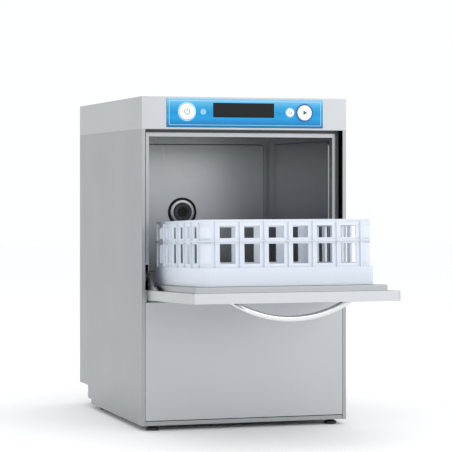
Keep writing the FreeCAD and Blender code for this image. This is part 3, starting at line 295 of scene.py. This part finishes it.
# %% Softened copies
def soften(name, radius, segments=2, angle=35, bends=None):
    """A copy of a CAD node with rounded edges that stands in for it."""
    shape = bmesh.new()
    shape.from_mesh(frame["nodes"][name].data)
    bmesh.ops.scale(shape, vec=(1 / MM, 1 / MM, 1 / MM), verts=shape.verts)
    bmesh.ops.remove_doubles(shape, verts=shape.verts, dist=0.001)
    bmesh.ops.dissolve_limit(shape, angle_limit=math.radians(0.5), verts=shape.verts, edges=shape.edges)
    if radius:
        edges = [e for e in shape.edges if e.is_manifold and e.calc_face_angle() > math.radians(angle)]
        bmesh.ops.bevel(shape, geom=edges, offset=radius, offset_type="OFFSET", affect="EDGES",
                        segments=segments, profile=0.5, material=-1, clamp_overlap=True)
    bmesh.ops.triangulate(shape, faces=[f for f in shape.faces if len(f.verts) > 4])
    return add_piece(name + "_softened", shape, body_of_node[name], slot_of[name], [name], finish_of[name],
                     bends=bends)


EDGES = {
    0.35: ("lid", "side_panel_left", "side_panel_right", "front_panel", "base_pan", "rear_panel",
           "front_frame", "door_outer_panel", "control_panel"),
    0.6: ("rack_rails", "hinge_arm_left", "hinge_arm_right", "display_window", "rear_screws",
          "lower_wash_arm", "lower_rinse_arm", "upper_wash_arm", "upper_rinse_arm", "start_button_ring"),
    1.2: ("pump_motor", "boiler", "drain_spigot", "water_inlet_valve", "cable_gland", "door_inner_liner"),
    0.0: ("door_handle", "levelling_feet", "riser_pipe", "sump_strainer", "drain_hose"),
}
for radius, names in EDGES.items():
    for name in names:
        soften(name, radius)
print("softened:", sum(len(names) for names in EDGES.values()), "pieces")

# % [markdown]
# The balance springs hang in the side spaces. Their links reach from a pin in the cabinet to an eye on the
# door's arm. The copy stays where the CAD puts it and is joined to no body.

# % Spring links
LINK_PIN = Vector((0, -65, 238)) * MM
LINK_EYE = Vector((0, -107.6, 313.2)) * MM
springs = soften("door_springs", 0.0, bends=("door", LINK_PIN, LINK_EYE))
print("spring links:", len(springs.data.vertices), "vertices")

# %% [markdown]
# ## Rounded frames
# The rack, the pressed panels and the keypad's border line are all rounded rectangles. One helper draws a
# flat rectangle from four corners, rounds the corners with a vertex bevel, and leaves either a plate or a
# ring, which an inset makes. An extrusion gives it height.


# %% Rounded plates and rings
def rounded_face(shape, width, depth, radius, steps=8):
    """A flat face with rounded corners, centred on the origin and facing up."""
    corners = [shape.verts.new((sx * width / 2, sy * depth / 2, 0))
               for sx, sy in ((-1, -1), (1, -1), (1, 1), (-1, 1))]
    face = shape.faces.new(corners)
    made = bmesh.ops.bevel(shape, geom=corners, offset=radius, offset_type="OFFSET", affect="VERTICES",
                           segments=steps, profile=0.5, material=-1, clamp_overlap=True)
    return next((f for f in made["faces"] if f.is_valid), face)


def raise_faces(shape, faces, low, high):
    """Extrudes flat faces from low to high, as a closed solid."""
    bmesh.ops.translate(shape, vec=(0, 0, low), verts=list({v for f in faces for v in f.verts}))
    made = bmesh.ops.extrude_face_region(shape, geom=faces, use_keep_orig=True)
    tops = [v for v in made["geom"] if isinstance(v, bmesh.types.BMVert)]
    bmesh.ops.translate(shape, vec=(0, 0, high - low), verts=tops)


def ring_band(width, depth, radius, wall, low, high):
    """A rounded rectangular ring as a mesh of its own."""
    shape = bmesh.new()
    rounded_face(shape, width, depth, radius)
    outer = list(shape.faces)
    bmesh.ops.inset_region(shape, faces=outer, thickness=wall, use_boundary=True,
                            use_even_offset=True)
    bmesh.ops.delete(shape, geom=outer, context="FACES_ONLY")
    raise_faces(shape, list(shape.faces), low, high)
    bmesh.ops.recalc_face_normals(shape, faces=shape.faces)
    return shape


def plate(width, depth, radius, low, high):
    """A rounded rectangular plate as a mesh of its own."""
    shape = bmesh.new()
    rounded_face(shape, width, depth, radius)
    raise_faces(shape, list(shape.faces), low, high)
    bmesh.ops.recalc_face_normals(shape, faces=shape.faces)
    return shape


def bar(low, high):
    """A box between two corners as a mesh of its own."""
    low, high = Vector(low), Vector(high)
    shape = bmesh.new()
    made = bmesh.ops.create_cube(shape, size=1.0)
    bmesh.ops.scale(shape, vec=high - low, verts=made["verts"])
    bmesh.ops.translate(shape, vec=(low + high) / 2, verts=made["verts"])
    return shape


def gather(shapes):
    """Joins several meshes into one."""
    whole = bmesh.new()
    for shape in shapes:
        mesh = bpy.data.meshes.new("passing")
        shape.to_mesh(mesh)
        shape.free()
        whole.from_mesh(mesh)
        bpy.data.meshes.remove(mesh)
    return whole


def turn(shape, matrix):
    """Moves a mesh and gives it back."""
    bmesh.ops.transform(shape, matrix=matrix, verts=shape.verts)
    return shape


# %% [markdown]
# ## The rack
# The rack is the standard 350 mm square: a smooth skirt round its foot, then a thinner wall with two rows
# of windows. Fins stand out from that wall between the windows, and one rib runs round it halfway up. Its
# floor is an open grid. It is drawn level, in the middle, and then laid on the door's slope.

# %% Rack walls
joint = next(j for j in frame["record"]["behaviour"]["joints"] if j["name"] == "door_hinge")
hinge = Vector(joint["pos_m"]) / MM
DOOR_TILT = math.radians(1.75)
on_door = Matrix.Translation(hinge) @ Matrix.Rotation(-DOOR_TILT, 4, "X")

RACK_WIDE = 350.0
WALL_HALF = 170.0
WALL_CORNER = 17.0
WALL_THICK = 3.0
FIN_HALF = 174.4
FIN_THICK = 1.8
PITCH = 48.5
WINDOW = 31.0
SKIRT_TOP = 35.0
WINDOW_ROWS = ((42.0, 80.0), (91.0, 114.0))
PLAIN_BANDS = ((34.0, 42.0), (80.0, 91.0), (114.0, 126.0))
RACK_Y = -109.0
RACK_Z = 25.0


def square_ring(side, radius, wall, low, high):
    """A ring of the rack, which is as deep as it is wide."""
    return ring_band(side, side, radius, wall, low, high)


rings = [square_ring(RACK_WIDE, 20, WALL_THICK, 0.0, SKIRT_TOP),
         square_ring(2 * FIN_HALF, 19.5, 7.5, 84.2, 86.4),
         square_ring(2 * WALL_HALF + 3, 18.5, WALL_THICK, 122.6, 124.6)]
for low, high in PLAIN_BANDS:
    rings.append(square_ring(2 * WALL_HALF, WALL_CORNER, WALL_THICK, low, high))
print(f"{len(rings)} rings")

# %% [markdown]
# Each side of the rack is the same, so the posts and fins of one side are drawn once and turned three
# times by a quarter. A post is the strip of wall between two windows, and a fin stands out from its middle.


# %% Rack posts and fins
def rack_side():
    """Posts between the windows, with their fins, and the plain ends of one side."""
    made = []
    for i in range(7):
        x = (i - 3) * PITCH
        half = (PITCH - WINDOW) / 2
        for low, high in WINDOW_ROWS:
            left = x - half if i > 0 else WALL_CORNER - WALL_HALF
            right = x + half if i < 6 else WALL_HALF - WALL_CORNER
            made.append(bar((left, -WALL_HALF, low), (right, -WALL_HALF + WALL_THICK, high)))
        made.append(bar((x - FIN_THICK / 2, -FIN_HALF, SKIRT_TOP),
                        (x + FIN_THICK / 2, -WALL_HALF + 0.5, 121.0)))
    return made


sides = []
for quarter in range(4):
    for post in rack_side():
        sides.append(turn(post, Matrix.Rotation(quarter * math.pi / 2, 4, "Z")))
print(f"{len(sides)} posts and fins")

# %% [markdown]
# The corners are smooth quarter rounds between the two end posts. Each is a thin section spun by a quarter
# turn about the corner's centre, 0.2 mm inside the plain bands, so that no two faces lie on each other.


# %% Rack corners
def corner_post():
    """The wall's rounded corner, from the skirt to the rim."""
    shape = bmesh.new()
    centre = WALL_HALF - WALL_CORNER
    outer, inner = WALL_CORNER - 0.2, WALL_CORNER - WALL_THICK + 0.2
    section = [shape.verts.new((centre + r, centre, z))
               for r, z in ((outer, 40), (outer, 116), (inner, 116), (inner, 40))]
    face = shape.faces.new(section)
    bmesh.ops.spin(shape, geom=[face], cent=(centre, centre, 0), axis=(0, 0, 1), angle=math.pi / 2, steps=8)
    bmesh.ops.recalc_face_normals(shape, faces=shape.faces)
    return shape


corners = [turn(corner_post(), Matrix.Rotation(k * math.pi / 2, 4, "Z")) for k in range(4)]

# %% [markdown]
# The floor lets spray through from below: a grid of bars every 26 mm inside a plain border.

# %% Rack floor
GRID_PITCH = 26.0
GRID_HALF = 162.0
BAR_HALF = 1.3
floor_bars = []
for i in range(13):
    at = (i - 6) * GRID_PITCH
    floor_bars.append(bar((at - BAR_HALF, -GRID_HALF, 0.1), (at + BAR_HALF, GRID_HALF, 3.2)))
    floor_bars.append(bar((-GRID_HALF, at - BAR_HALF, 0.4), (GRID_HALF, at + BAR_HALF, 2.8)))
floor_bars.append(ring_band(RACK_WIDE - 3, RACK_WIDE - 3, 18.5, 14, 0.2, 3.0))
rack = gather(rings + sides + corners + floor_bars)
turn(rack, on_door @ Matrix.Translation((0, RACK_Y, RACK_Z)))
rack_piece = add_piece("glass_rack_moulding", rack, "rack", "rack_plastic", ["glass_rack"])
print("rack:", len(rack_piece.data.polygons), "faces")

# %% [markdown]
# ## Pressed chamber walls
# The chamber's walls are stiffened by a shallow pressed panel with rounded corners. It shows as a fine
# line round each wall. A thin rounded plate stands 2.4 mm out of the wall, with its edge bevelled.


# %% Pressed panels
PRESSING = 2.4


def pressed(name, width, height, matrix):
    """A raised panel on a chamber wall."""
    shape = plate(width, height, 12, 0.0, PRESSING)
    rim = [e for e in shape.edges if e.is_manifold and e.calc_face_angle() > 1.0
           and min(v.co.z for v in e.verts) > PRESSING - 0.1]
    bmesh.ops.bevel(shape, geom=rim, offset=2.2, offset_type="OFFSET", affect="EDGES", segments=3,
                    profile=0.5, material=-1, clamp_overlap=True)
    turn(shape, matrix)
    return add_piece(name, shape, "cabinet", "stainless_chamber")


CHAMBER_WALL = 196.0
PANEL_HIGH = 284.0
WALL_Z = 442.0
rear_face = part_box("chamber_rear_wall")[0][1] / MM
upright = Matrix.Rotation(math.pi / 2, 4, "X")
pressed("rear_wall_pressing", 362, PANEL_HIGH, Matrix.Translation((0, rear_face, WALL_Z)) @ upright)
for side, sign in (("left", -1), ("right", 1)):
    facing = Matrix.Rotation(-sign * math.pi / 2, 4, "Z") @ upright
    place = Matrix.Translation((sign * CHAMBER_WALL, CENTRE_Y, WALL_Z))
    pressed(f"{side}_wall_pressing", 366, PANEL_HIGH, place @ facing)
print("pressed panels stand on the chamber walls")

# %% [markdown]
# ## Turned pieces
# Round pieces are made as on a lathe: half of the outline is drawn as a line of points and spun a full
# turn. The port in the rear wall is a rubber gasket, a bright flange, and a grey funnel with a dark mouth.


# %% Lathe
def turned(outline, centre, steps=64):
    """Spins an outline of (radius, forward) points about a line through centre that runs to the front."""
    shape = bmesh.new()
    points = [shape.verts.new((radius, -forward, 0)) for radius, forward in outline]
    edges = [shape.edges.new(pair) for pair in zip(points, points[1:])]
    bmesh.ops.spin(shape, geom=points + edges, cent=(0, 0, 0), axis=(0, 1, 0), angle=2 * math.pi,
                   steps=steps, use_merge=True)
    bmesh.ops.remove_doubles(shape, verts=shape.verts, dist=0.0005)
    bmesh.ops.recalc_face_normals(shape, faces=shape.faces)
    bmesh.ops.translate(shape, vec=centre, verts=shape.verts)
    return shape


# %% Rear port
low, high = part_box("port_gasket")
port = Vector(((low[0] + high[0]) / 2 / MM, rear_face - PRESSING / 2, (low[2] + high[2]) / 2 / MM))
gasket = turned([(28, 1.2), (28, 4.2), (29, 5.4), (31.5, 5.4), (32.5, 4.2), (32.5, 1.2), (28, 1.2)], port)
add_piece("port_rubber_ring", gasket, "cabinet", "black_rubber", ["port_gasket"])
flange = turned([(0, 1.2), (27.8, 1.2), (27.8, 3.6), (26.6, 4.4), (21.6, 4.4), (21.0, 3.4), (0, 3.4)], port)
add_piece("port_bright_flange", flange, "cabinet", "stainless_chamber", ["port_flange"])
funnel = turned([(0, 3.2), (20.8, 3.2), (20.4, 6.0), (17.5, 8.4), (13.6, 8.8), (12.6, 7.4), (10.4, 4.2),
                 (0, 4.0)], port)
add_piece("port_grey_funnel", funnel, "cabinet", "black_rubber", finish="funnel_grey")
mouth = turned([(0, 3.8), (10.0, 3.8), (10.2, 4.6), (8.0, 5.0), (0, 5.0)], port)
add_piece("port_dark_mouth", mouth, "cabinet", "black_rubber")
print("port at", tuple(round(v) for v in port))

# %% [markdown]
# ## Buttons
# The three keys are turned caps with a soft edge and a slightly dished face, so that a finger finds the
# middle. The wide ones have printed signs that are used everywhere: a broken ring with a bar for power and
# a triangle for start. The signs are thin plates, 0.15 mm proud.


# %% Button caps
def cap(node_name, radius, body):
    """A dished cap on its stem, in place of a CAD button."""
    low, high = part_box(node_name)
    centre = Vector(((low[0] + high[0]) / 2 / MM, high[1] / MM, (low[2] + high[2]) / 2 / MM))
    face = (high[1] - low[1]) / MM
    outline = [(0, 0), (4, 0), (4, face - 5), (radius - 0.3, face - 5), (radius, face - 4.4),
               (radius, face - 0.9), (radius - 0.4, face - 0.25), (radius - 1.1, face), (radius - 2.4, face),
               (radius * 0.6, face - 0.22), (0, face - 0.3)]
    add_piece(node_name + "_cap", turned(outline, centre), body, "button_white", [node_name])
    return Vector((centre.x, low[1] / MM, centre.z))


on_off = cap("on_off_button", 16.5, "on_off_key")
start = cap("start_button", 15.5, "start_key")
program = cap("program_button", 8.5, "program_key")


# %% Printed signs
def sign(name, shape, place, body, ink, slot="button_white"):
    """Stands a flat sign, drawn in the ground plane, against a face that looks to the front."""
    turn(shape, Matrix.Translation(place) @ upright)
    return add_piece(name, shape, body, slot, finish=ink)


def arc_sign(radius, wall, opening):
    """A flat ring with a gap at its top."""
    shape = bmesh.new()
    begin = math.pi / 2 + opening
    section = [shape.verts.new((r * math.cos(begin), r * math.sin(begin), z))
               for r, z in ((radius, 0), (radius, 0.15), (radius - wall, 0.15), (radius - wall, 0))]
    face = shape.faces.new(section)
    bmesh.ops.spin(shape, geom=[face], cent=(0, 0, 0), axis=(0, 0, 1), angle=2 * (math.pi - opening),
                   steps=36)
    bmesh.ops.recalc_face_normals(shape, faces=shape.faces)
    return shape


face_lift = Vector((0, 0.25, 0))
power = gather([arc_sign(6.0, 1.1, 0.6), bar((-0.55, 1.6, 0), (0.55, 7.4, 0.15))])
sign("power_sign", power, on_off + face_lift, "on_off_key", "dark_ink")
play = bmesh.new()
bmesh.ops.create_cone(play, cap_ends=True, segments=3, radius1=5.4, radius2=5.4, depth=0.15)
turn(play, Matrix.Rotation(-math.pi / 2, 4, "Z") @ Matrix.Translation((0, 0, 0.08)))
sign("start_sign", play, start + face_lift, "start_key", "dark_ink")
sign("program_sign", arc_sign(3.4, 0.8, 0.5), program + face_lift, "program_key", "dark_ink")
print("keys at x", [round(k.x, 1) for k in (on_off, start, program)])

# %% [markdown]
# ## The film's print
# A pale line runs round the film, 4.5 mm inside its edge, and a pale halo surrounds the on-off key.
# Both are printed, so they are rings 0.12 mm thick on the film's face. The small key has a thinner halo.

# %% Border line
INK = 0.12
low, high = (Vector(corner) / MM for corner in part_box("control_panel"))
middle = Vector(((low.x + high.x) / 2, low.y, (low.z + high.z) / 2))
border = ring_band(high.x - low.x - 9, high.z - low.z - 9, 1.6, 0.9, 0.0, INK)
sign("film_border_line", border, middle, "cabinet", "pale_ink", "blue_overlay")


# %% Halos
def printed_halo(name, inner, outer, key):
    """A flat ring of ink on the film, round a key."""
    ring = turned([(inner, 0), (inner, INK), (outer, INK), (outer, 0)], Vector((key.x, middle.y, key.z)))
    return add_piece(name, ring, "cabinet", "blue_overlay", finish="pale_ink")


printed_halo("on_off_halo", 17.0, 19.0, on_off)
printed_halo("program_halo", 9.0, 9.9, program)
print("film", [round(v, 1) for v in (*low, *high)])

# %% [markdown]
# ## Stage and light
# The set is a plain pale floor that runs back into an even, pale surround, as in a catalogue. Steel shows
# only what it reflects, so the lights are large soft boxes: one in front brightens the door and the front
# panel, and a weaker one at the left leaves that side a shade darker.

# %% Floor
ground = bmesh.new()
bmesh.ops.create_grid(ground, x_segments=1, y_segments=1, size=12000)
bmesh.ops.scale(ground, vec=(MM, MM, MM), verts=ground.verts)
mesh = bpy.data.meshes.new("studio_floor")
ground.to_mesh(mesh)
ground.free()
mesh.materials.append(new_finish("matt_white_backdrop", "FDFDFD", 0.0, 0.9)[0])
studio_floor = bpy.data.objects.new("studio_floor", mesh)
bpy.context.scene.collection.objects.link(studio_floor)


# %% Soft boxes
def soft_box(name, place, aim, width, power):
    """A square area light that faces a point."""
    lamp = bpy.data.lights.new(name, "AREA")
    lamp.shape = "SQUARE"
    lamp.size = width
    lamp.energy = power
    item = bpy.data.objects.new(name, lamp)
    item.location = place
    item.rotation_euler = (Vector(aim) - Vector(place)).to_track_quat("-Z", "Y").to_euler()
    bpy.context.scene.collection.objects.link(item)
    return item


soft_box("front_box", (1.6, -3.6, 1.9), (0, 0, 0.35), 2.4, 30)
soft_box("left_box", (-3.2, -0.6, 1.5), (0, 0, 0.3), 1.6, 6)
soft_box("top_box", (0.2, 0.2, 3.0), (0, 0, 0), 2.2, 12)
world = bpy.data.worlds.new("pale_surround")
world.use_nodes = True
backdrop = world.node_tree.nodes["Background"]
backdrop.inputs["Color"].default_value = linear("F6F7F8")
backdrop.inputs["Strength"].default_value = 1.08
bpy.context.scene.world = world
bpy.context.scene.view_settings.view_transform = "Standard"

# %% [markdown]
# ## Camera
# The view is from a long way off with a long lens, level, a little to the left, with the horizon two
# thirds of the way up the machine. A camera that is kept level keeps upright edges upright, so the frame
# is lowered with the lens shift instead of a tilt.

# %% Camera
lens = bpy.data.cameras.new("catalogue_camera")
lens.lens = 158.2
lens.sensor_width = 36.0
lens.shift_y = -0.0896
lens.dof.use_dof = False
camera = bpy.data.objects.new("catalogue_camera", lens)
camera.location = (-1.2238, -3.8387 + FRONT * MM, 0.49145)
camera.rotation_euler = (math.pi / 2, 0, math.radians(-17.12))
bpy.context.scene.collection.objects.link(camera)
bpy.context.scene.camera = camera
